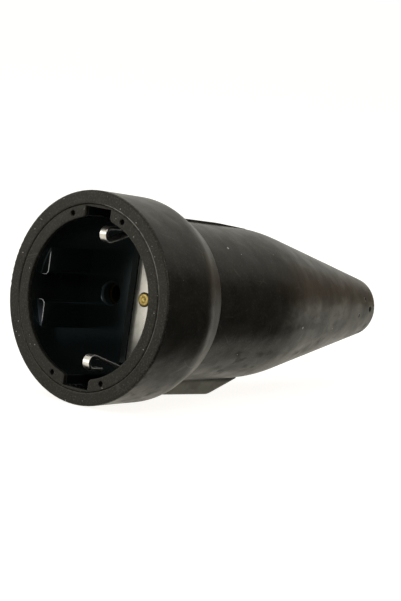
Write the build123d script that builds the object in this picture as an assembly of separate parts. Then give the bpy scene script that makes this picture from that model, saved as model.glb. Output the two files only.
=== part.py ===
from build123d import *
import os
from math import asin, atan2, cos, hypot, radians, sin, tan

# Rubber mains socket connector for an earthed two-pin plug, in millimetres.
# X runs along the axis from the mating face at x = 0 to the cable end, Z is up.
# The two earth springs stand above and below the axis, the two pins left and right of it.

# Plug interface
well_d = 39.5
well_depth = 19.0
pin_spacing = 19.0
pin_l = 19.0
pin_hole_d = 5.6
earth_nose_gap = 27.6

# Clearances, and how far a cut runs past the face that it opens
slip = 0.1
cavity_gap = 0.4
seam_chamfer = 0.2
overcut = 1.0

# Rubber sleeve, outside
sleeve_l = 109.0
face_d = 52.5
head_draft = 2.9
head_l = 17.3
shoulder_l = 6.9
shoulder_d = 44.6
neck_step_l = 1.4
neck_d = 41.2
barrel_l = 33.4
barrel_end_d = 38.6
tail_d = 14.8
face_round = 0.5
head_round = 10.0
shoulder_round = 1.1
neck_round = 1.0
barrel_round = 60.0
tail_round = 2.5

# Rubber sleeve, rib underneath, parting ridge on top and two small holes near the cable end
rib_w = 6.0
rib_depth = 23.6
rib_flat_end = 46.6
rib_toe_l = 11.0
rib_round = 0.6
ridge_w = 1.2
ridge_h = 0.55
ridge_l = 19.5
ridge_ramp_l = 11.0
vent_d = 1.5
vent_setback = 4.4
vent_z = 0.5
vent_web = 1.7

# Rubber sleeve, inside
cable_bore_d = 9.5
cable_bore_l = 13.0
cavity_clear_l = 5.0

# Face ring, which takes the inner share of the rim between the well and the outside
ring_t = 1.2
ring_share = 0.485
notch_w = 8.3
notch_web = 0.75
notch_round = 1.1
mark_hole_d = 1.4
mark_hole_depth = 2.0
mark_angle = 22.5

# Contact carrier
well_relief = 0.3
land_setback = 2.6
land_gap = 34.7
groove_w = 6.2
groove_round = 1.2
strap_recess = 2.2
channel_gap = 0.1
back_t = 1.0
cup_chamfer_l = 4.0
cup_chamfer_h = 3.6
rear_block_d = 32.8
pin_web = 2.5
pin_lead = 0.5
chamber_d = 7.8
earth_web = 4.9

# Earth bracket and its rivet
strap_w = 7.0
strap_t = 0.8
strap_reach = 19.4
bend_r = 1.2
strap_shoulder = 2.2
leg_w = 2.1
nose_r = 2.0
nose_front_x = 2.7
return_l = 3.3
rivet_d = 2.4
rivet_head_d = 3.7
rivet_head_h = 0.6
rivet_bevel = 0.4
rivet_dimple_d = 1.5
rivet_dimple_h = 0.25
rivet_grip = 4.0

# Contacts, springs and terminals
contact_d = 6.4
contact_bore_d = 4.7
contact_front_gap = 0.4
contact_slit = 0.8
pin_end_gap = 0.5
contact_root_l = 3.0
spring_t = 0.5
spring_w = 3.0
spring_setback = 1.8
spring_opening = 2.0
terminal_w = 7.4
terminal_l = 8.2
wire_hole_d = 3.2
wire_hole_l = 6.2
screw_d = 3.0
screw_head_d = 5.0
screw_head_h = 1.9
screw_slot_w = 0.8
screw_slot_h = 0.9
screw_tip_gap = 0.6

# Rear cover with its pillars, saddle and cable clamp
cover_d = 31.6
cover_t = 2.4
pillar_y = 8.5
pillar_z = -10.0
pillar_d = 5.2
cover_screw_d = 2.2
cover_screw_l = 7.5
cover_head_d = 4.6
cover_head_h = 1.7
wire_way_d = 4.6
clamp_w = 22.0
saddle_l = 10.0
saddle_h = 7.0
clamp_l = 7.0
clamp_h = 6.0
clamp_bore_d = 9.0
clamp_screw_y = 8.2
clamp_corner = 1.5
nut_af = 5.5
nut_h = 2.4

# Stations along the axis and radii that several pieces share
face_r = face_d / 2
well_r = well_d / 2
bore_r = well_r + ring_share * (face_r - well_r)
cup_r = bore_r - slip
notch_gap = 2 * (cup_r - notch_web)
mark_circle_r = (well_r + cup_r) / 2
cup_back_r = cup_r - cup_chamfer_h
rear_block_r = rear_block_d / 2
cavity_r = rear_block_r + cavity_gap
contact_r = contact_d / 2
pin_y = pin_spacing / 2
floor_x = well_depth
strap_x = floor_x + strap_recess
channel_x = strap_x + strap_t
cup_back_x = channel_x + back_t
cup_corner_x = cup_back_x - cup_chamfer_l
pin_stop_x = floor_x + pin_l + pin_end_gap
carrier_rear_x = pin_stop_x + contact_root_l
chamber_x = floor_x + pin_web
earth_seat_x = channel_x + earth_web
terminal_end_x = carrier_rear_x + terminal_l
terminal_screw_x = terminal_end_x - terminal_l / 2
cover_x = terminal_end_x + slip
cover_back_x = cover_x + cover_t
clamp_x = cover_back_x + saddle_l / 2
cavity_end_x = cover_back_x + cavity_clear_l
cable_bore_x = sleeve_l - cable_bore_l
neck_x = head_l + shoulder_l + neck_step_l
barrel_end_x = neck_x + barrel_l
barrel_slope = (neck_d - barrel_end_d) / 2 / barrel_l


def turned(corners, rounds=()):
    """Solid turned about the X axis from (x, radius) corners; rounds holds (corner, radius) pairs."""
    outline = make_face(Polyline(*corners, close=True))
    for corner, radius in rounds:
        vertex = outline.vertices().sort_by_distance((*corners[corner], 0))[0]
        outline = fillet(vertex, radius)
    return revolve(Plane.XZ * outline, Axis.X)


def rod(start_x, end_x, radius, y=0.0, z=0.0):
    """Round bar along X between two stations."""
    return Plane((start_x, y, z), z_dir=(1, 0, 0)) * extrude(Circle(radius), end_x - start_x)


def post(low_z, high_z, radius, x, y=0.0):
    """Round bar along Z between two heights."""
    return Plane((x, y, low_z)) * extrude(Circle(radius), high_z - low_z)


def block(low, high):
    """Box between two opposite corners."""
    size = [b - a for a, b in zip(low, high)]
    middle = [(a + b) / 2 for a, b in zip(low, high)]
    return Pos(*middle) * Box(*size)


def bar_along_x(section, start_x, end_x):
    """Section drawn in the YZ plane and pushed along X between two stations."""
    return Plane((start_x, 0, 0), x_dir=(0, 1, 0), z_dir=(1, 0, 0)) * extrude(section, end_x - start_x)


def side_plate(corners, width):
    """Plate of the given width, centred on the XZ plane, from (x, z) corners."""
    return extrude(Plane.XZ * make_face(Polyline(*corners, close=True)), width / 2, both=True)


def head_radius(x):
    """Radius of the head's tapered side."""
    return face_r - x * tan(radians(head_draft))


def barrel_radius(x):
    """Radius of the barrel between the neck and the start of the tail cone."""
    return neck_d / 2 - (x - neck_x) * barrel_slope


def slotted_screw(length, diameter, head_d, head_h):
    """Slotted cheese-head screw along Z: the head sits on z = 0 and the shank points down."""
    shank = post(-length, 0, diameter / 2, 0)
    head = post(0, head_h, head_d / 2, 0)
    slot = block(
        (-head_d, -screw_slot_w / 2, head_h - screw_slot_h),
        (head_d, screw_slot_w / 2, head_h + overcut),
    )
    return shank + head - slot


def make_rubber_sleeve():
    corners = [
        (0, 0),
        (0, face_r),
        (head_l, head_radius(head_l)),
        (head_l + shoulder_l, shoulder_d / 2),
        (neck_x, neck_d / 2),
        (barrel_end_x, barrel_end_d / 2),
        (sleeve_l, tail_d / 2),
        (sleeve_l, 0),
    ]
    rounds = [
        (1, face_round),
        (2, head_round),
        (3, shoulder_round),
        (4, neck_round),
        (5, barrel_round),
        (6, tail_round),
    ]
    sleeve = turned(corners, rounds)

    core_z = cavity_r / 2
    rib_toe_x = rib_flat_end + rib_toe_l
    rib = side_plate(
        [
            (head_l, -core_z),
            (head_l, -rib_depth),
            (rib_flat_end, -rib_depth),
            (rib_toe_x, -barrel_radius(rib_toe_x)),
            (rib_toe_x, -core_z),
        ],
        rib_w,
    )
    sole_edges = rib.faces().sort_by(Axis.Z)[0].edges().filter_by(Axis.Y, reverse=True)
    sleeve += fillet(sole_edges, rib_round)

    ridge_end_x = neck_x + ridge_l
    ridge = side_plate(
        [
            (head_l + shoulder_l, core_z),
            (head_l + shoulder_l, barrel_radius(head_l + shoulder_l) + ridge_h),
            (ridge_end_x, barrel_radius(ridge_end_x) + ridge_h),
            (ridge_end_x + ridge_ramp_l, barrel_radius(ridge_end_x + ridge_ramp_l)),
            (ridge_end_x + ridge_ramp_l, core_z),
        ],
        ridge_w,
    )
    sleeve += ridge

    vent_drill = extrude(Circle(vent_d / 2), tail_d - cable_bore_d / 2 - vent_web)
    for side in (-1, 1):
        start = (sleeve_l - vent_setback, side * tail_d, vent_z)
        sleeve -= Plane(start, z_dir=(0, -side, 0)) * vent_drill

    cavity = turned(
        [
            (-overcut, 0),
            (-overcut, bore_r + seam_chamfer + overcut),
            (seam_chamfer, bore_r),
            (cup_corner_x, bore_r),
            (cup_back_x, cup_back_r + slip),
            (cup_back_x, cavity_r),
            (cavity_end_x, cavity_r),
            (cable_bore_x, cable_bore_d / 2),
            (sleeve_l + overcut, cable_bore_d / 2),
            (sleeve_l + overcut, 0),
        ]
    )
    return sleeve - cavity


def mark_holes():
    """Four small blind holes through the face ring into the carrier, beside the earth notches."""
    holes = []
    for above in (90, -90):
        for side in (-mark_angle, mark_angle):
            angle = radians(above + side)
            y = mark_circle_r * cos(angle)
            z = mark_circle_r * sin(angle)
            holes.append(rod(-overcut, mark_hole_depth, mark_hole_d / 2, y, z))
    return holes


def make_face_ring():
    section = Circle(cup_r) - Circle(well_r)
    notches = Rectangle(notch_w, notch_gap)
    section -= notches
    lips = section.vertices().filter_by(lambda v: hypot(v.X, v.Y) < well_r + slip)
    section = fillet(lips, notch_round)
    ring = bar_along_x(section, 0, ring_t)
    rim = ring.edges().filter_by(GeomType.CIRCLE).filter_by(lambda e: abs(e.radius - cup_r) < slip / 2)
    return chamfer(rim.group_by(Axis.X)[0], seam_chamfer) - mark_holes()


def make_contact_carrier():
    carrier = turned(
        [
            (ring_t, 0),
            (ring_t, cup_r),
            (cup_corner_x, cup_r),
            (cup_back_x, cup_back_r),
            (cup_back_x, rear_block_r),
            (carrier_rear_x, rear_block_r),
            (carrier_rear_x, 0),
        ]
    )

    recess = Circle(well_r + well_relief)
    flats = recess & Rectangle(land_gap, well_d * 2)
    groove = recess & Rectangle(well_d * 2, groove_w)
    well = flats + groove
    land_y = land_gap / 2
    groove_z = groove_w / 2
    mouths = well.vertices().filter_by(lambda v: hypot(abs(v.X) - land_y, abs(v.Y) - groove_z) < slip)
    well = fillet(mouths, groove_round) + Rectangle(notch_w, notch_gap)
    carrier -= bar_along_x(well, ring_t - overcut, floor_x)
    carrier -= rod(ring_t - overcut, ring_t + land_setback, well_r + well_relief)
    carrier -= mark_holes()

    channel_y = strap_w / 2 + channel_gap
    channel_z = strap_reach + channel_gap
    carrier -= block((floor_x - overcut, -channel_y, -channel_z), (channel_x, channel_y, channel_z))
    carrier -= rod(channel_x - overcut, earth_seat_x + overcut, rivet_d / 2)
    pocket_half = terminal_w / 2 + slip
    carrier -= block(
        (earth_seat_x, -pocket_half, -pocket_half),
        (carrier_rear_x + overcut, pocket_half, pocket_half),
    )

    for side in (-1, 1):
        lead = turned(
            [
                (floor_x - overcut, 0),
                (floor_x - overcut, pin_hole_d / 2 + pin_lead + overcut),
                (floor_x + pin_lead, pin_hole_d / 2),
                (chamber_x + overcut, pin_hole_d / 2),
                (chamber_x + overcut, 0),
            ]
        )
        carrier -= Pos(0, side * pin_y, 0) * lead
        carrier -= rod(chamber_x, carrier_rear_x + overcut, chamber_d / 2, side * pin_y)
        carrier += rod(carrier_rear_x - overcut, cover_x, pillar_d / 2, side * pillar_y, pillar_z)
        screw_tip_x = cover_x - cover_screw_l
        carrier -= rod(screw_tip_x, cover_x + overcut, cover_screw_d / 2, side * pillar_y, pillar_z)
    return carrier


def make_earth_bracket():
    strap_mid_x = strap_x + strap_t / 2
    bend_z = strap_reach - strap_t / 2
    wide_z = bend_z - strap_shoulder
    strap = block((strap_x, -strap_w / 2, -wide_z), (channel_x, strap_w / 2, wide_z))
    strap -= rod(strap_x - overcut, channel_x + overcut, rivet_d / 2)

    nose_x = nose_front_x + nose_r
    nose_z = earth_nose_gap / 2 + nose_r
    turn_r = nose_r - strap_t / 2
    reach = hypot(strap_mid_x - nose_x, bend_z - nose_z)
    lean = atan2(bend_z - nose_z, strap_mid_x - nose_x) + asin(turn_r / reach)
    run = (reach**2 - turn_r**2) ** 0.5
    touch = (strap_mid_x - run * cos(lean), 0, bend_z - run * sin(lean))
    front = (nose_x - turn_r, 0, nose_z)
    top = (nose_x, 0, nose_z + turn_r)
    root = (strap_mid_x, 0, wide_z - leg_w)
    bend = (strap_mid_x, 0, bend_z)

    path = FilletPolyline(root, bend, touch, radius=bend_r)
    path += ThreePointArc(touch, front, top)
    path += Line(top, (nose_x + return_l, 0, nose_z + turn_r))
    section = Plane(root, x_dir=(0, 1, 0), z_dir=(0, 0, 1)) * Rectangle(leg_w, strap_t)
    leg = sweep(section, path)
    return strap + leg + mirror(leg, Plane.XY)


def make_earth_rivet():
    head_x = strap_x - rivet_head_h
    rivet = turned(
        [
            (head_x, 0),
            (head_x, rivet_head_d / 2 - rivet_bevel),
            (head_x + rivet_bevel, rivet_head_d / 2),
            (strap_x, rivet_head_d / 2),
            (strap_x, rivet_d / 2),
            (earth_seat_x + rivet_grip, rivet_d / 2),
            (earth_seat_x + rivet_grip, 0),
        ]
    )
    return rivet - rod(head_x - overcut, head_x + rivet_dimple_h, rivet_dimple_d / 2)


def terminal_cuts(terminal, y):
    """Wire hole from the rear and the clamping screw's hole from above, cut into a terminal block."""
    terminal -= rod(terminal_end_x - wire_hole_l, terminal_end_x + overcut, wire_hole_d / 2, y)
    return terminal - post(0, terminal_w, screw_d / 2, terminal_screw_x, y)


def make_pin_contact(side):
    y = side * pin_y
    front_x = chamber_x + contact_front_gap
    contact = rod(front_x, carrier_rear_x, contact_r, y)
    contact -= rod(front_x - overcut, pin_stop_x, contact_bore_d / 2, y)
    contact -= block(
        (front_x - overcut, y - contact_slit / 2, -contact_d),
        (pin_stop_x, y + contact_slit / 2, contact_d),
    )
    half = terminal_w / 2
    contact += block((carrier_rear_x, y - half, -half), (terminal_end_x, y + half, half))
    return terminal_cuts(contact, y)


def make_contact_spring(side):
    y = side * pin_y
    start_x = chamber_x + contact_front_gap + spring_setback
    spring = rod(start_x, start_x + spring_w, contact_r + spring_t, y)
    spring -= rod(start_x - overcut, start_x + spring_w + overcut, contact_r, y)
    outer_y = y + side * (contact_r + spring_t + overcut)
    low_y, high_y = sorted((y, outer_y))
    return spring - block(
        (start_x - overcut, low_y, -spring_opening / 2),
        (start_x + spring_w + overcut, high_y, spring_opening / 2),
    )


def make_earth_terminal():
    half = terminal_w / 2
    terminal = block((earth_seat_x, -half, -half), (terminal_end_x, half, half))
    terminal -= rod(earth_seat_x - overcut, earth_seat_x + rivet_grip, rivet_d / 2)
    return terminal_cuts(terminal, 0)


def make_terminal_screw(y):
    seat_z = terminal_w / 2
    screw = slotted_screw(seat_z - screw_tip_gap, screw_d, screw_head_d, screw_head_h)
    return Pos(terminal_screw_x, y, seat_z) * screw


def make_rear_cover():
    cover = rod(cover_x, cover_back_x, cover_d / 2)
    saddle_end_x = cover_back_x + saddle_l
    cover += block((cover_back_x, -clamp_w / 2, -saddle_h), (saddle_end_x, clamp_w / 2, 0))
    cover -= rod(cover_back_x, saddle_end_x + overcut, clamp_bore_d / 2)
    for side in (-1, 0, 1):
        cover -= rod(cover_x - overcut, cover_back_x + overcut, wire_way_d / 2, side * pin_y)
    for side in (-1, 1):
        cover -= rod(cover_x - overcut, cover_back_x + overcut, cover_screw_d / 2, side * pillar_y, pillar_z)
        cover -= post(-saddle_h - overcut, overcut, screw_d / 2, clamp_x, side * clamp_screw_y)
        cover -= Pos(clamp_x, side * clamp_screw_y, -saddle_h) * nut_blank(nut_h)
    return cover


def nut_blank(height):
    """Hexagonal prism standing on z = 0, with two flats across Y."""
    return extrude(RegularPolygon(nut_af / 2, 6, major_radius=False), height)


def make_cover_screws():
    screw = slotted_screw(cover_screw_l + cover_t, cover_screw_d, cover_head_d, cover_head_h)
    lying = Rot(0, 90, 0) * screw
    return [Pos(cover_back_x, side * pillar_y, pillar_z) * lying for side in (-1, 1)]


def make_clamp_bridge():
    half_w = clamp_w / 2
    bridge = block((clamp_x - clamp_l / 2, -half_w, 0), (clamp_x + clamp_l / 2, half_w, clamp_h))
    bridge = fillet(bridge.edges().filter_by(Axis.X).group_by(Axis.Z)[-1], clamp_corner)
    bridge -= rod(clamp_x - clamp_l, clamp_x + clamp_l, clamp_bore_d / 2)
    for side in (-1, 1):
        bridge -= post(-overcut, clamp_h + overcut, screw_d / 2, clamp_x, side * clamp_screw_y)
    return bridge


def make_clamp_screws():
    screw = slotted_screw(clamp_h + saddle_h, screw_d, screw_head_d, screw_head_h)
    return [Pos(clamp_x, side * clamp_screw_y, clamp_h) * screw for side in (-1, 1)]


def make_clamp_nuts():
    nut = nut_blank(nut_h) - post(-overcut, nut_h + overcut, screw_d / 2, 0)
    return [Pos(clamp_x, side * clamp_screw_y, -saddle_h) * nut for side in (-1, 1)]


pieces = {
    "rubber_sleeve": make_rubber_sleeve(),
    "face_ring": make_face_ring(),
    "contact_carrier": make_contact_carrier(),
    "earth_bracket": make_earth_bracket(),
    "earth_rivet": make_earth_rivet(),
    "earth_terminal": make_earth_terminal(),
    "earth_terminal_screw": make_terminal_screw(0),
    "line_contact": make_pin_contact(1),
    "neutral_contact": make_pin_contact(-1),
    "line_contact_spring": make_contact_spring(1),
    "neutral_contact_spring": make_contact_spring(-1),
    "line_terminal_screw": make_terminal_screw(pin_y),
    "neutral_terminal_screw": make_terminal_screw(-pin_y),
    "rear_cover": make_rear_cover(),
    "cover_screws": Compound(children=make_cover_screws()),
    "clamp_bridge": make_clamp_bridge(),
    "clamp_screws": Compound(children=make_clamp_screws()),
    "clamp_nuts": Compound(children=make_clamp_nuts()),
}

os.makedirs("parts", exist_ok=True)
for name, piece in pieces.items():
    export_step(piece, f"parts/{name}.step")
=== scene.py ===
from math import atan, cos, radians, sin

import bpy
from mathutils import Matrix, Vector


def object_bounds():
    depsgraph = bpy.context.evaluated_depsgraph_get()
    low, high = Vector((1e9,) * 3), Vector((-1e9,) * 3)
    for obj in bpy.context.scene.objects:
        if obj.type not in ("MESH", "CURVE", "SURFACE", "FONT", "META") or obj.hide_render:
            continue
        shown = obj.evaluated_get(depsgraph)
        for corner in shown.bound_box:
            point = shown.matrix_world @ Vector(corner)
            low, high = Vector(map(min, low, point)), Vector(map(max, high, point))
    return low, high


bl_info = {
    "name": "Rubber Socket Connector",
    "version": (1, 0, 0),
    "blender": (4, 5, 0),
    "location": "View3D > Sidebar > Connector",
    "description": "Dresses a rubber mains socket connector and sets its studio",
    "category": "Object",
}

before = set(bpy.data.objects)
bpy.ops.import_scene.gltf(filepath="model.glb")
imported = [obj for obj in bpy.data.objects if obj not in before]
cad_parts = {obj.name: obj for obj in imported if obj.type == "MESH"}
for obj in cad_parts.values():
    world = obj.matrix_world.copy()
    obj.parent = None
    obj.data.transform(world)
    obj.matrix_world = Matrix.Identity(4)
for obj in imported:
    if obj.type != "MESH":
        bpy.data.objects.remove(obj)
cad_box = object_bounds()

# Pieces that share a finish
brass_pieces = ("earth_rivet", "earth_terminal")
contact_pieces = ("line_contact", "neutral_contact")
steel_pieces = (
    "earth_terminal_screw",
    "line_terminal_screw",
    "neutral_terminal_screw",
    "cover_screws",
    "clamp_screws",
    "clamp_nuts",
)
spring_pieces = ("line_contact_spring", "neutral_contact_spring")
cover_pieces = ("rear_cover", "clamp_bridge")

# Marks on the rubber, in metres from the middle of the face
dust_spots = (
    (0.0349, -0.0131, 0.0154),
    (0.0637, -0.0178, -0.0036),
    (0.0012, -0.0243, -0.0068),
)
dust_size = 0.0004
pit_spots = ((0.0978, -0.0100, -0.0011), (0.1017, -0.0085, 0.0032))
pit_size = 0.0006
pit_depth = 0.0005
dark_patch_spot = (0.1022, -0.0090, 0.0)
dark_patch_size = 0.0032
hole_y, hole_z = 0.00814, 0.01966
hole_spots = tuple((0.0, y, z) for y in (-hole_y, hole_y) for z in (-hole_z, hole_z))
hole_size = 0.0011

# Patches of the rubber: where each fades in and where it is full
cone_x = (0.047, 0.066)
brown_lower_z = (-0.003, 0.002)
brown_upper_z = (0.014, 0.006)
bloom_and_reflection_upper_z = (0.0005, -0.0050)
bloom_and_reflection_lower_z = (-0.0050, -0.0110)
rib_x = (0.024, 0.026)
rib_z = (-0.0195, -0.0207)
face_x = (0.0012, 0.0004)
seam_outer_radius = (0.02325, 0.02308)
seam_inner_radius = (0.0227, 0.0229)
seam_fill_z = (0.002, -0.005)
seam_highlight_y = (0.004, -0.010)
seam_highlight_z = (-0.013, -0.008)
seam_pale_z = (0.004, 0.009)
handled_z = (0.003, -0.004)

# Rise of the edge of the pale wax, partly painted floor reflection, along the cone, and how far it
# wavers
bloom_and_reflection_slope = 0.067
bloom_and_reflection_waver = 0.006

# Marks of the contact carrier: where each fades in and where it is full
mouth_x = (0.0075, 0.0060)
land_radius = (0.0197, 0.0191)
land_y = (0.012, 0.014)
land_reflection_front_x = (0.00370, 0.00375)
land_reflection_back_x = (0.00390, 0.00385)
land_reflection_radius = (0.0200, 0.0199)
land_reflection_z = (-0.003, -0.009)
lead_y = (0.005, 0.006)
lead_x = (0.01905, 0.0192)

# Radii of the softened edges, how far wear reaches from an edge of the rubber, and how far the painted
# highlight reaches from the land edges of the carrier
rubber_edge, rubber_wear = 0.0006, 0.0004
carrier_edge, land_highlight_reach = 0.0005, 0.0004
rivet_edge = 0.0008
side_highlight_edge = 0.0005

# Heights of the fine relief on the hard pieces
carrier_ripple = 0.00004
cover_grain = 0.00003
rolling_depth = 0.00001

# Roughness of the metals
nickel_rough = 0.30
brass_rough = 0.28
contact_rough = 0.45
zinc_rough = 0.34
spring_rough = 0.24

# Stretch of the patterns: smears along the axis, and the rolling marks of sheet metal
short_smear = (0.7, 1.0, 1.0)
long_smear = (0.6, 1.0, 1.0)
rolling = (1.0, 1.0, 0.12)

# Colours of dark spots, dust specks, painted reflection and painted highlights
dark_spot_colour = (0.002, 0.002, 0.002)
speck_colour = (0.10, 0.10, 0.10)
land_reflection_colour = (0.055, 0.060, 0.080)
land_highlight_colour = (0.85, 0.88, 0.88)
side_highlight_colour = (0.95, 0.93, 0.88)
side_highlight_stain_colour = (0.90, 0.88, 0.84)

# Picture and camera, fitted to the round face and the outline
picture_height_px = 601
focal_px = 2477.4
sensor_mm = 36.0

# Floor and backdrop: what the camera sees and what the rubber mirrors of the warm room
floor_size = 24.0
floor_seen, floor_mirrored = (1.0, 0.975, 0.94), (1.0, 0.955, 0.82)
floor_glow = 0.95
floor_shade = (0.35, 0.35, 0.35)
backdrop_seen, backdrop_mirrored = (1.0, 1.0, 1.0), (1.0, 0.975, 0.88)
backdrop_light = 0.28

# Cards on the floor that the rubber reflects: corners, from the edge that carries the wall,
# then the height of the wall and the tone
cards = {
    "dark_card": (
        ((-0.60, -0.60), (1.30, -0.60), (-0.60, -0.030), (0.12, -0.030)),
        0.5,
        (0.012, 0.012, 0.010),
    ),
    "warm_card": (
        ((1.30, -0.60), (1.00, 0.15), (1.31, -0.60), (1.01, 0.15)),
        0.45,
        (0.42, 0.33, 0.24),
    ),
}
card_gap = 0.0005

# Soft lights: the setting that holds the power, the side of the square and the place
lights = {
    "key_light": ("key_power", 0.30, (-0.69, 0.63, 0.14)),
    "front_light": ("front_power", 0.35, (-0.46, -0.36, 0.46)),
    "top_light": ("top_power", 0.8, (0.12, 0.20, 0.75)),
}
light_colour = (1.0, 0.965, 0.91)

# Where the weight of the connector hangs along its axis, and the search for the slope that it rests at
balance_x = 0.0395
steepest_slope = 0.3
halvings = 40

# Sockets of a Mix node, by number because those for colours and vectors share their names
mix_share = 0
mix_colours, mixed_colour = (6, 7), 2
mix_vectors, mixed_vector = (4, 5), 1


class RubberFinish(bpy.types.PropertyGroup):
    """Finish of the moulded rubber."""

    colour: bpy.props.FloatVectorProperty(
        name="Colour",
        description="Black of the moulded rubber",
        subtype="COLOR",
        default=(0.0072, 0.0070, 0.0058),
    )
    # This grey is also painted as a reflection of the floor on the lower cone and the rib, and as light
    # in the seam
    bloom_and_painted_light: bpy.props.FloatVectorProperty(
        name="Bloom",
        description="Grey of the wax that comes to the surface",
        subtype="COLOR",
        default=(0.082, 0.080, 0.066),
    )
    brown: bpy.props.FloatVectorProperty(
        name="Brown",
        description="Brown tinge of the aged rubber on the upper side of the cone",
        subtype="COLOR",
        default=(0.020, 0.014, 0.008),
    )
    # This colour is also painted as a highlight along one side of the seam
    dust_and_highlight: bpy.props.FloatVectorProperty(
        name="Dust",
        description="Colour of the dust specks",
        subtype="COLOR",
        default=(0.42, 0.41, 0.38),
    )
    grain: bpy.props.FloatProperty(
        name="Grain",
        description="Height of the moulded grain",
        subtype="DISTANCE",
        default=0.00004,
    )


class MouldingFinish(bpy.types.PropertyGroup):
    """Finish of the hard black mouldings."""

    colour: bpy.props.FloatVectorProperty(
        name="Colour",
        description="Black of the contact carrier",
        subtype="COLOR",
        default=(0.0034, 0.0046, 0.0044),
    )
    roughness: bpy.props.FloatProperty(
        name="Roughness",
        description="Roughness of the glossy moulding",
        subtype="FACTOR",
        default=0.18,
    )


class MetalFinish(bpy.types.PropertyGroup):
    """Finish of the metal pieces."""

    nickel: bpy.props.FloatVectorProperty(
        name="Nickel",
        description="Colour of the plated earth bracket",
        subtype="COLOR",
        default=(0.61, 0.595, 0.56),
    )
    brass: bpy.props.FloatVectorProperty(
        name="Brass",
        description="Colour of the rivet, contacts and terminals",
        subtype="COLOR",
        default=(0.50, 0.38, 0.13),
    )
    steel: bpy.props.FloatVectorProperty(
        name="Steel",
        description="Colour of the zinc plated screws and nuts",
        subtype="COLOR",
        default=(0.55, 0.56, 0.58),
    )
    edge: bpy.props.FloatProperty(
        name="Edge",
        description="Radius of the worn edges",
        subtype="DISTANCE",
        default=0.00015,
    )


class StageSettings(bpy.types.PropertyGroup):
    """Camera, floor and light."""

    distance: bpy.props.FloatProperty(
        name="Distance",
        description="From the camera to the middle of the face",
        subtype="DISTANCE",
        default=0.600,
    )
    azimuth: bpy.props.FloatProperty(
        name="Azimuth",
        description="Turn of the camera from the axis of the connector",
        subtype="ANGLE",
        default=radians(42.37),
    )
    elevation: bpy.props.FloatProperty(
        name="Elevation",
        description="Height of the camera over the axis, as an angle",
        subtype="ANGLE",
        default=radians(5.28),
    )
    roll: bpy.props.FloatProperty(
        name="Roll",
        description="Turn of the picture",
        subtype="ANGLE",
        default=radians(7.57),
    )
    yaw: bpy.props.FloatProperty(
        name="Yaw",
        description="Turn of the camera away from the face towards the tail",
        subtype="ANGLE",
        default=radians(2.63),
    )
    pitch: bpy.props.FloatProperty(
        name="Pitch",
        description="Turn of the camera down from the face",
        subtype="ANGLE",
        default=radians(0.06),
    )
    floor: bpy.props.FloatVectorProperty(
        name="Floor",
        description="Colour of the floor",
        subtype="COLOR",
        default=(0.93, 0.92, 0.90),
    )
    key_power: bpy.props.FloatProperty(
        name="Key light",
        description="Power of the light from the left",
        subtype="POWER",
        default=1.1,
    )
    front_power: bpy.props.FloatProperty(
        name="Front light",
        description="Power of the light over the camera",
        subtype="POWER",
        default=1.5,
    )
    top_power: bpy.props.FloatProperty(
        name="Top light",
        description="Power of the light from above",
        subtype="POWER",
        default=2.5,
    )


def bare_tree(owner, output):
    """Empty node tree of a material or a world, and the surface socket of its output."""
    owner.use_nodes = True
    tree = owner.node_tree
    tree.nodes.clear()
    return tree, tree.nodes.new(output).inputs["Surface"]


def toned(colour, factor):
    """Colour made darker or paler."""
    return tuple(min(1.0, factor * channel) for channel in colour)


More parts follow.
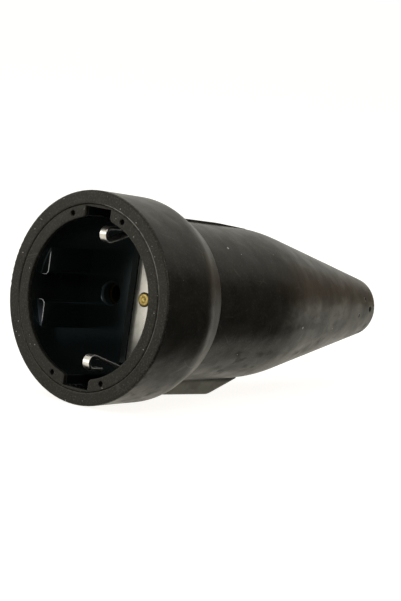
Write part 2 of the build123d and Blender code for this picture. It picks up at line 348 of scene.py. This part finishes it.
class Finish:
    """A Principled material under construction, with short calls for the nodes that it needs."""

    def __init__(self, name, colour):
        self.material = bpy.data.materials.new(name)
        self.tree, surface = bare_tree(self.material, "ShaderNodeOutputMaterial")
        self.shader = self.node("ShaderNodeBsdfPrincipled")
        self.link(self.shader.outputs["BSDF"], surface)
        self.place = self.node("ShaderNodeTexCoord").outputs["Object"]
        self.colour = colour

    def node(self, kind, **settings):
        made = self.tree.nodes.new(kind)
        for name, value in settings.items():
            setattr(made, name, value)
        return made

    def link(self, source, target):
        self.tree.links.new(source, target)

    def fill(self, socket, value):
        """Sets a socket to a constant, or links it to another socket."""
        if isinstance(value, bpy.types.NodeSocket):
            self.link(value, socket)
        elif hasattr(value, "__len__") and len(value) == 3 and socket.type == "RGBA":
            socket.default_value = (*value, 1.0)
        else:
            socket.default_value = value

    def set(self, **values):
        """Fills sockets of the shader, with _ for the spaces in their names."""
        for name, value in values.items():
            self.fill(self.shader.inputs[name.replace("_", " ")], value)

    def cover(self, share, colour):
        """Lays another colour over a share of the surface."""
        self.colour = self.mix(share, self.colour, colour)

    def mix(self, share, first, second):
        made = self.node("ShaderNodeMix", data_type="RGBA")
        self.fill(made.inputs[mix_share], share)
        for number, value in zip(mix_colours, (first, second)):
            self.fill(made.inputs[number], value)
        return made.outputs[mixed_colour]

    def math(self, operation, first, *others):
        """Values joined by one operation, in their order."""
        for other in others:
            made = self.node("ShaderNodeMath", operation=operation)
            self.fill(made.inputs[0], first)
            self.fill(made.inputs[1], other)
            first = made.outputs["Value"]
        return first

    def times(self, *values):
        return self.math("MULTIPLY", *values)

    def most(self, *values):
        return self.math("MAXIMUM", *values)

    def ramp(self, value, start, end):
        """Smooth step from 0 at start to 1 at end."""
        made = self.node("ShaderNodeMapRange", interpolation_type="SMOOTHSTEP")
        self.fill(made.inputs["Value"], value)
        made.inputs["From Min"].default_value = min(start, end)
        made.inputs["From Max"].default_value = max(start, end)
        if start > end:
            made.inputs["To Min"].default_value = 1.0
            made.inputs["To Max"].default_value = 0.0
        return made.outputs["Result"]

    def span(self, value, low, high):
        """Value from 0 to 1 spread linearly between two limits."""
        made = self.node("ShaderNodeMapRange")
        self.fill(made.inputs["Value"], value)
        made.inputs["To Min"].default_value = low
        made.inputs["To Max"].default_value = high
        return made.outputs["Result"]

    def axes(self):
        made = self.node("ShaderNodeSeparateXYZ")
        self.link(self.place, made.inputs["Vector"])
        return made.outputs["X"], made.outputs["Y"], made.outputs["Z"]

    def stretched(self, scale):
        """Object coordinates scaled along X, Y and Z."""
        mapping = self.node("ShaderNodeMapping")
        self.link(self.place, mapping.inputs["Vector"])
        mapping.inputs["Scale"].default_value = scale
        return mapping.outputs["Vector"]

    def radius(self):
        """Distance from the axis of the connector."""
        made = self.node("ShaderNodeVectorMath", operation="LENGTH")
        self.link(self.stretched((0.0, 1.0, 1.0)), made.inputs[0])
        return made.outputs["Value"]

    def spot(self, point, size):
        """1 at a point of the surface, fading to 0 at the spot's size."""
        made = self.node("ShaderNodeVectorMath", operation="DISTANCE")
        self.link(self.place, made.inputs[0])
        made.inputs[1].default_value = point
        return self.ramp(made.outputs["Value"], size, size / 2)

    def noise(self, scale, detail=2.0, stretch=None):
        texture = self.node("ShaderNodeTexNoise")
        self.link(self.stretched(stretch) if stretch else self.place, texture.inputs["Vector"])
        texture.inputs["Scale"].default_value = scale
        texture.inputs["Detail"].default_value = detail
        return texture.outputs["Fac"]

    def specks(self, cells_per_m, radius, share):
        """Round specks of a given radius in a share of random cells."""
        texture = self.node("ShaderNodeTexVoronoi")
        self.link(self.place, texture.inputs["Vector"])
        texture.inputs["Scale"].default_value = cells_per_m
        chance = self.node("ShaderNodeSeparateColor")
        self.link(texture.outputs["Color"], chance.inputs["Color"])
        near = self.ramp(texture.outputs["Distance"], radius, radius / 2)
        chosen = self.ramp(chance.outputs["Red"], 1 - share, 1 - share + 0.01)
        return self.times(near, chosen)

    def hairlines(self, cells_per_m, width):
        """Thin broken scratches."""
        texture = self.node("ShaderNodeTexVoronoi", feature="DISTANCE_TO_EDGE")
        self.link(self.stretched(long_smear), texture.inputs["Vector"])
        texture.inputs["Scale"].default_value = cells_per_m
        line = self.ramp(texture.outputs["Distance"], width, width / 3)
        return self.times(line, self.ramp(self.noise(cells_per_m * 1.4), 0.54, 0.64))

    def bump(self, height, distance, strength=1.0, below=None):
        """Normal of a raised pattern, on top of another normal if there is one."""
        made = self.node("ShaderNodeBump")
        self.link(height, made.inputs["Height"])
        made.inputs["Distance"].default_value = distance
        made.inputs["Strength"].default_value = strength
        if below:
            self.link(below, made.inputs["Normal"])
        return made.outputs["Normal"]

    def true_normal(self):
        return self.node("ShaderNodeNewGeometry").outputs["Normal"]

    def soft_edge(self, radius):
        """Normal of the piece with its edges rounded."""
        made = self.node("ShaderNodeBevel", samples=6)
        made.inputs["Radius"].default_value = radius
        return made.outputs["Normal"]

    def mix_normal(self, share, normal):
        """Another normal where the share is 1 and the true one where it is 0."""
        made = self.node("ShaderNodeMix", data_type="VECTOR")
        self.link(share, made.inputs[mix_share])
        for number, source in zip(mix_vectors, (self.true_normal(), normal)):
            self.link(source, made.inputs[number])
        return made.outputs[mixed_vector]

    def edge_wear(self, radius):
        """1 along sharp edges and 0 on open faces."""
        product = self.node("ShaderNodeVectorMath", operation="DOT_PRODUCT")
        self.link(self.soft_edge(radius), product.inputs[0])
        self.link(self.true_normal(), product.inputs[1])
        return self.ramp(product.outputs["Value"], 0.99, 0.80)

    def highlit_side(self, radius):
        """1 on the cut sides of the earth strip, along the outer edge where a highlight is painted."""
        true = self.node("ShaderNodeSeparateXYZ")
        self.link(self.true_normal(), true.inputs["Vector"])
        side = self.ramp(self.math("ABSOLUTE", true.outputs["Y"], 0.0), 0.80, 0.95)
        soft = self.node("ShaderNodeSeparateXYZ")
        self.link(self.soft_edge(radius), soft.inputs["Vector"])
        outward = self.times(soft.outputs["Z"], self.math("SIGN", self.axes()[2], 0.0))
        return self.times(side, self.ramp(outward, -0.22, -0.42))


def dress(material, *names):
    """Gives CAD nodes one material."""
    for name in names:
        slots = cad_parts[name].data.materials
        slots.clear()
        slots.append(material)


class CONNECTOR_OT_rubber(bpy.types.Operator):
    """Dress the sleeve and the face ring in matte black rubber"""

    bl_idname = "connector.rubber"
    bl_label = "Rubber sleeve and ring"

    def execute(self, context):
        look = context.scene.connector_rubber
        dress(rubber_material("rubber_sleeve_finish", look), "rubber_sleeve")
        dress(rubber_material("rubber_ring_finish", look), "face_ring")
        return {"FINISHED"}


def rubber_material(name, look):
    """Moulded rubber with grain, brown patches, pale patches that are partly a painted reflection of
    the floor, painted light and a painted highlight along the seam, wear, dust, painted shade in the
    pits and darker spots.
    """
    finish = Finish(name, look.colour)
    x, y, z = finish.axes()
    clouds = finish.ramp(finish.noise(100, 4.0), 0.36, 0.66)
    scuffs = finish.ramp(finish.noise(520, 4.0, short_smear), 0.50, 0.60)
    smears = finish.ramp(finish.noise(210, 4.0, long_smear), 0.50, 0.60)
    grain = finish.noise(1900, 3.0)
    cone = finish.ramp(x, *cone_x)
    face = finish.ramp(x, *face_x)

    # Paler grain and hairlines all over
    finish.cover(finish.ramp(grain, 0.48, 0.75), toned(look.colour, 2.6))
    finish.cover(finish.times(finish.hairlines(130, 0.014), 0.30), look.bloom_and_painted_light)

    # Brown tinge on the upper side of the cone
    upper = finish.times(finish.ramp(z, *brown_lower_z), finish.ramp(z, *brown_upper_z))
    finish.cover(finish.times(cone, upper, finish.span(clouds, 0.4, 1.0)), look.brown)

    # Pale wax on the lower side of the cone, partly a painted reflection of the floor, worn off in dark
    # scuffs, and one darker patch
    rise = finish.math("SUBTRACT", z, finish.times(x, bloom_and_reflection_slope))
    rise = finish.math("ADD", rise, finish.span(finish.noise(130, 4.0), -bloom_and_reflection_waver, bloom_and_reflection_waver))
    bloom_and_painted_light = finish.times(
        cone,
        finish.ramp(rise, *bloom_and_reflection_upper_z),
        finish.span(finish.ramp(rise, *bloom_and_reflection_lower_z), 1.0, 0.35),
        finish.span(clouds, 0.35, 1.15),
        finish.span(scuffs, 1.0, 0.65),
        finish.span(smears, 1.0, 0.65),
    )
    finish.cover(bloom_and_painted_light, look.bloom_and_painted_light)
    finish.cover(finish.times(finish.spot(dark_patch_spot, dark_patch_size), 0.7), look.colour)

    # Thicker wax on the rib, made paler still as a painted reflection of the floor
    rib = finish.times(finish.ramp(z, *rib_z), finish.ramp(x, *rib_x), finish.span(smears, 1.0, 0.70))
    finish.cover(rib, toned(look.bloom_and_painted_light, 4.5))

    # Grit on the face, and edges that handling has worn pale
    grit = finish.times(face, finish.ramp(finish.noise(2300, 2.0), 0.52, 0.72))
    finish.cover(grit, toned(look.colour, 6))
    worn = finish.times(finish.edge_wear(rubber_wear), finish.span(clouds, 0.08, 0.32))
    finish.cover(worn, look.bloom_and_painted_light)

    # The seam round the ring: painted light that fills the shade of its groove below, and on one side
    # painted light that turns into a painted highlight with dust towards the top
    radius = finish.radius()
    seam = finish.times(
        finish.ramp(radius, *seam_outer_radius),
        finish.ramp(radius, *seam_inner_radius),
        face,
        finish.span(scuffs, 1.0, 0.4),
    )
    seam_fill_light = finish.times(seam, finish.span(finish.ramp(z, *seam_fill_z), 0.0, 0.45))
    finish.cover(seam_fill_light, look.bloom_and_painted_light)
    seam_highlight = finish.times(seam, finish.ramp(y, *seam_highlight_y), finish.ramp(z, *seam_highlight_z))
    paleness = finish.span(finish.ramp(z, *seam_pale_z), 0.25, 0.75)
    finish.cover(seam_highlight, finish.mix(paleness, look.bloom_and_painted_light, look.dust_and_highlight))

    # Small pits near the cable end with painted shade in them, and darker spots in and round the holes
    # of the face
    pits = finish.most(*(finish.spot(point, pit_size) for point in pit_spots))
    holes = (finish.spot(point, hole_size) for point in hole_spots)
    finish.cover(finish.most(pits, *holes), dark_spot_colour)

    # Dust specks on the face, a few all over, and those that stand out
    specks = finish.times(finish.specks(600, 0.10, 0.6), face)
    marks = (finish.spot(point, dust_size) for point in dust_spots)
    finish.cover(finish.most(specks, finish.specks(300, 0.05, 0.3), *marks), look.dust_and_highlight)

    # Handling leaves the lower side rough in patches
    smudges = finish.ramp(finish.noise(230, 4.0, short_smear), 0.57, 0.71)
    handled = finish.most(finish.span(smudges, 0.0, 0.19), finish.span(smears, 0.0, 0.06))
    handled = finish.times(handled, finish.ramp(z, *handled_z))
    even = finish.span(finish.noise(260, 4.0), 0.24, 0.48)

    dented = finish.bump(finish.span(pits, 1.0, 0.0), pit_depth, 1.0, finish.soft_edge(rubber_edge))
    uneven = finish.bump(finish.noise(160, 1.5), look.grain * 6, 1.0, dented)
    finish.set(
        Base_Color=finish.colour,
        Roughness=finish.math("ADD", even, handled),
        Specular_IOR_Level=0.17,
        Specular_Tint=(1.0, 0.97, 0.88),
        Normal=finish.bump(grain, look.grain, 0.6, uneven),
    )
    return finish.material


class CONNECTOR_OT_carrier(bpy.types.Operator):
    """Dress the contact carrier in glossy black moulding"""

    bl_idname = "connector.carrier"
    bl_label = "Contact carrier"

    def execute(self, context):
        look = context.scene.connector_moulding
        dress(carrier_material(look), "contact_carrier")
        return {"FINISHED"}


def carrier_material(look):
    """Glossy moulding with dust, a painted reflection on the fronts of the lower lands, painted
    highlights on the land edges and dull pin holes.
    """
    finish = Finish("carrier_finish", look.colour)
    x, y, z = finish.axes()
    side = finish.math("ABSOLUTE", y, 0.0)
    radius = finish.radius()
    mouth = finish.ramp(x, *mouth_x)

    finish.cover(finish.specks(500, 0.06, 0.06), speck_colour)
    # Painted reflection: a bluish sheet on the front faces of the lower lands
    land_reflection = finish.times(
        finish.ramp(x, *land_reflection_front_x),
        finish.ramp(x, *land_reflection_back_x),
        finish.ramp(radius, *land_reflection_radius),
        finish.ramp(z, *land_reflection_z),
    )
    finish.cover(land_reflection, land_reflection_colour)
    # Painted highlights: the front edges of the lands near the mouth are painted pale
    lands = finish.times(mouth, finish.ramp(radius, *land_radius), finish.ramp(side, *land_y))
    finish.cover(finish.times(finish.edge_wear(land_highlight_reach), lands), land_highlight_colour)

    even = finish.span(finish.noise(90, 3.0), look.roughness * 0.7, look.roughness * 1.5)
    lead = finish.times(finish.ramp(side, *lead_y), finish.ramp(x, *lead_x))
    rounded = finish.mix_normal(mouth, finish.soft_edge(carrier_edge))
    finish.set(
        Base_Color=finish.colour,
        Roughness=finish.math("ADD", even, finish.span(lead, 0.0, 0.5)),
        Specular_IOR_Level=0.34,
        Specular_Tint=(0.66, 0.90, 1.0),
        Normal=finish.bump(finish.noise(60, 1.0), carrier_ripple, 0.3, rounded),
    )
    return finish.material


class CONNECTOR_OT_metal(bpy.types.Operator):
    """Dress the earth bracket, the rivet, the contacts and the screws in their metals"""

    bl_idname = "connector.metal"
    bl_label = "Metal pieces"

    def execute(self, context):
        look = context.scene.connector_metal
        edge = look.edge
        # The contacts deep in the pin holes get the brass darkened nearly to black, as painted shade
        shaded_brass = toned(look.brass, 0.08)
        nickel = metal_material("nickel_finish", look.nickel, nickel_rough, edge, side_highlight=True)
        brass = metal_material("brass_finish", look.brass, brass_rough, edge, rounding=rivet_edge)
        contact = metal_material("contact_finish", shaded_brass, contact_rough, edge / 3)
        zinc = metal_material("zinc_finish", look.steel, zinc_rough, edge)
        spring = metal_material("spring_finish", look.steel, spring_rough, edge)
        dress(nickel, "earth_bracket")
        dress(brass, *brass_pieces)
        dress(contact, *contact_pieces)
        dress(zinc, *steel_pieces)
        dress(spring, *spring_pieces)
        return {"FINISHED"}


def metal_material(name, colour, roughness, edge, rounding=None, side_highlight=False):
    """Plated metal with stains, rolling marks, pale sheared edges and, when asked, a painted highlight
    along the cut sides of the earth strip.
    """
    finish = Finish(name, colour)
    stained = toned(colour, 0.72)
    metallic = 1.0
    if side_highlight:
        # Painted highlight: the cut sides turn pale and less metallic so that they shine like a lit
        # edge
        side = finish.highlit_side(side_highlight_edge)
        metallic = finish.span(side, 1.0, 0.0)
        finish.cover(side, side_highlight_colour)
        stained = finish.mix(side, stained, side_highlight_stain_colour)
    finish.cover(finish.ramp(finish.noise(350, 3.0), 0.40, 0.75), stained)
    finish.cover(finish.edge_wear(edge), toned(colour, 1.3))
    rolled = finish.noise(900, 2.0, rolling)
    finish.set(
        Base_Color=finish.colour,
        Metallic=metallic,
        Roughness=finish.span(rolled, roughness * 0.75, roughness * 1.3),
        Normal=finish.bump(rolled, rolling_depth, 0.35, finish.soft_edge(rounding or edge)),
    )
    return finish.material


class CONNECTOR_OT_cover(bpy.types.Operator):
    """Dress the rear cover and the cable clamp in dull black moulding"""

    bl_idname = "connector.cover"
    bl_label = "Rear cover and clamp"

    def execute(self, context):
        look = context.scene.connector_moulding
        dress(cover_material(look), *cover_pieces)
        return {"FINISHED"}


def cover_material(look):
    """Dull moulding, clouded and grained."""
    finish = Finish("cover_finish", look.colour)
    finish.cover(finish.noise(120, 3.0), toned(look.colour, 6))
    finish.set(
        Base_Color=finish.colour,
        Roughness=finish.span(finish.noise(300, 2.0), 0.45, 0.62),
        Specular_IOR_Level=0.4,
        Normal=finish.bump(finish.noise(1800, 2.0), cover_grain, 0.5),
    )
    return finish.material


class CONNECTOR_OT_stage(bpy.types.Operator):
    """Lay the pale floor, hang the lights and set the camera"""

    bl_idname = "connector.stage"
    bl_label = "Studio"

    def execute(self, context):
        look = context.scene.connector_stage
        height, slope = resting_line()
        lay_floor(look, height, slope)
        fill_world(context.scene)
        for name, (corners, wall, tone) in cards.items():
            stand_card(name, corners, wall, tone, height, slope)
        for name, (power, side, place) in lights.items():
            hang_light(name, getattr(look, power), side, place)
        set_camera(context.scene, look)
        context.scene.view_settings.view_transform = "Standard"
        return {"FINISHED"}


def resting_line():
    """Height over x = 0 and slope of the floor that touches the head and the rib."""
    points = [v.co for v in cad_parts["rubber_sleeve"].data.vertices]
    low, high = 0.0, steepest_slope
    for _ in range(halvings):
        slope = (low + high) / 2
        touch = min(points, key=lambda p: p.z - slope * p.x)
        if touch.x < balance_x:
            low = slope
        else:
            high = slope
    return touch.z - slope * touch.x, slope


def lay_floor(look, height, slope):
    bpy.ops.mesh.primitive_plane_add(
        size=floor_size,
        location=(0.0, 0.0, height),
        rotation=(0.0, -atan(slope), 0.0),
    )
    floor = bpy.context.active_object
    floor.name = "floor"
    floor.data.materials.append(floor_material(look))


def stand_card(name, corners, wall, tone, height, slope):
    """Card on the floor that only reflections see, with a wall on the edge of its first two corners."""
    bpy.ops.mesh.primitive_plane_add(size=1.0)
    card = bpy.context.active_object
    card.name = name
    for vertex, (x, y) in zip(card.data.vertices, corners):
        vertex.co = (x, y, 0.0)
    bpy.ops.object.mode_set(mode="EDIT")
    bpy.ops.mesh.select_all(action="DESELECT")
    bpy.ops.mesh.select_mode(type="EDGE")
    bpy.ops.object.mode_set(mode="OBJECT")
    for edge in card.data.edges:
        edge.select = set(edge.vertices) == {0, 1}
    bpy.ops.object.mode_set(mode="EDIT")
    bpy.ops.mesh.extrude_region_move(TRANSFORM_OT_translate={"value": (0.0, 0.0, wall)})
    bpy.ops.object.mode_set(mode="OBJECT")
    card.location = (0.0, 0.0, height + card_gap)
    card.rotation_euler = (0.0, -atan(slope), 0.0)
    card.data.materials.append(card_material(name + "_finish", tone))
    card.visible_camera = False
    card.visible_diffuse = False
    card.visible_shadow = False


def card_material(name, tone):
    """Even tone, so that a card looks the same in every reflection."""
    material = bpy.data.materials.new(name)
    tree, surface = bare_tree(material, "ShaderNodeOutputMaterial")
    material.cycles.emission_sampling = "NONE"
    glow = tree.nodes.new("ShaderNodeEmission")
    glow.inputs["Color"].default_value = (*tone, 1.0)
    tree.links.new(glow.outputs["Emission"], surface)
    return material


def seen_directly(tree):
    """Light path value that is 1 for what the camera, a reflection or a glass sees."""
    path = tree.nodes.new("ShaderNodeLightPath")
    value = path.outputs["Is Camera Ray"]
    for name in ("Is Glossy Ray", "Is Transmission Ray"):
        either = tree.nodes.new("ShaderNodeMath")
        either.operation = "MAXIMUM"
        tree.links.new(value, either.inputs[0])
        tree.links.new(path.outputs[name], either.inputs[1])
        value = either.outputs["Value"]
    return value


def room_tone(tree, seen, mirrored):
    """Colour that the camera sees in one way and reflections in another."""
    path = tree.nodes.new("ShaderNodeLightPath")
    tone = tree.nodes.new("ShaderNodeMix")
    tone.data_type = "RGBA"
    tree.links.new(path.outputs["Is Glossy Ray"], tone.inputs[mix_share])
    for number, colour in zip(mix_colours, (seen, mirrored)):
        tone.inputs[number].default_value = (*colour, 1.0)
    return tone.outputs[mixed_colour]


def show_directly(tree, surface, light, sight):
    """Gives a surface one shader that lights the part and another for what is seen directly."""
    pick = tree.nodes.new("ShaderNodeMixShader")
    tree.links.new(seen_directly(tree), pick.inputs["Fac"])
    tree.links.new(light, pick.inputs[1])
    tree.links.new(sight, pick.inputs[2])
    tree.links.new(pick.outputs["Shader"], surface)


def floor_material(look):
    """Pale floor that looks white and keeps a soft shadow."""
    material = bpy.data.materials.new("floor_finish")
    tree, surface = bare_tree(material, "ShaderNodeOutputMaterial")
    lit = tree.nodes.new("ShaderNodeBsdfDiffuse")
    lit.inputs["Color"].default_value = (*look.floor, 1.0)
    shade = tree.nodes.new("ShaderNodeBsdfDiffuse")
    shade.inputs["Color"].default_value = (*floor_shade, 1.0)
    glow = tree.nodes.new("ShaderNodeEmission")
    glow.inputs["Strength"].default_value = floor_glow
    tree.links.new(room_tone(tree, floor_seen, floor_mirrored), glow.inputs["Color"])
    both = tree.nodes.new("ShaderNodeAddShader")
    tree.links.new(shade.outputs["BSDF"], both.inputs[0])
    tree.links.new(glow.outputs["Emission"], both.inputs[1])
    show_directly(tree, surface, lit.outputs["BSDF"], both.outputs["Shader"])
    return material


def fill_world(scene):
    """Even soft light from all round, before a white backdrop."""
    world = bpy.data.worlds.new("studio")
    tree, surface = bare_tree(world, "ShaderNodeOutputWorld")
    soft = tree.nodes.new("ShaderNodeBackground")
    soft.inputs["Color"].default_value = (1.0, 1.0, 1.0, 1.0)
    soft.inputs["Strength"].default_value = backdrop_light
    white = tree.nodes.new("ShaderNodeBackground")
    white.inputs["Strength"].default_value = 1.0
    tree.links.new(room_tone(tree, backdrop_seen, backdrop_mirrored), white.inputs["Color"])
    show_directly(tree, surface, soft.outputs["Background"], white.outputs["Background"])
    scene.world = world


def hang_light(name, power, side, place):
    """Square soft light that looks at the middle of the connector."""
    lamp = bpy.data.lights.new(name, "AREA")
    lamp.energy = power
    lamp.size = side
    lamp.color = light_colour
    light = bpy.data.objects.new(name, lamp)
    bpy.context.collection.objects.link(light)
    middle = sum(cad_box, Vector()) / 2
    light.location = place
    light.rotation_euler = (middle - light.location).to_track_quat("-Z", "Y").to_euler()
    light.visible_camera = False


def set_camera(scene, look):
    """Camera that looks at the face, then turns by its roll, yaw and pitch."""
    back = Vector(
        (
            -cos(look.azimuth) * cos(look.elevation),
            -sin(look.azimuth) * cos(look.elevation),
            sin(look.elevation),
        )
    )
    right = (-back).cross(Vector((0, 0, 1))).normalized()
    up = right.cross(-back)
    aim = Matrix((right, up, back)).transposed()
    aim = aim @ Matrix.Rotation(look.roll, 3, "Z")
    aim = aim @ Matrix.Rotation(-look.yaw, 3, "Y")
    aim = aim @ Matrix.Rotation(-look.pitch, 3, "X")
    camera = bpy.data.objects.new("camera", bpy.data.cameras.new("camera"))
    bpy.context.collection.objects.link(camera)
    camera.matrix_world = Matrix.Translation(back * look.distance) @ aim.to_4x4()
    camera.data.sensor_width = sensor_mm
    camera.data.lens = focal_px / picture_height_px * sensor_mm
    scene.camera = camera


class CONNECTOR_PT_panel(bpy.types.Panel):
    """Sizes, colours and steps of the connector"""

    bl_idname = "CONNECTOR_PT_panel"
    bl_label = "Connector"
    bl_space_type = "VIEW_3D"
    bl_region_type = "UI"
    bl_category = "Connector"

    def draw(self, context):
        for operator in operators:
            self.layout.operator(operator.bl_idname)
        for name, group in settings.items():
            look = getattr(context.scene, name)
            for key in group.__annotations__:
                self.layout.prop(look, key)


settings = {
    "connector_rubber": RubberFinish,
    "connector_moulding": MouldingFinish,
    "connector_metal": MetalFinish,
    "connector_stage": StageSettings,
}
operators = (
    CONNECTOR_OT_rubber,
    CONNECTOR_OT_carrier,
    CONNECTOR_OT_metal,
    CONNECTOR_OT_cover,
    CONNECTOR_OT_stage,
)


def register():
    for made in (*settings.values(), *operators, CONNECTOR_PT_panel):
        bpy.utils.register_class(made)
    for name, group in settings.items():
        setattr(bpy.types.Scene, name, bpy.props.PointerProperty(type=group))


def unregister():
    for name in settings:
        delattr(bpy.types.Scene, name)
    for made in reversed((*settings.values(), *operators, CONNECTOR_PT_panel)):
        bpy.utils.unregister_class(made)


def main():
    register()
    bpy.ops.object.select_all(action="DESELECT")
    bpy.ops.connector.rubber()
    bpy.ops.connector.carrier()
    bpy.ops.connector.metal()
    bpy.ops.connector.cover()
    bpy.ops.connector.stage()


if __name__ == "__main__":
    main()
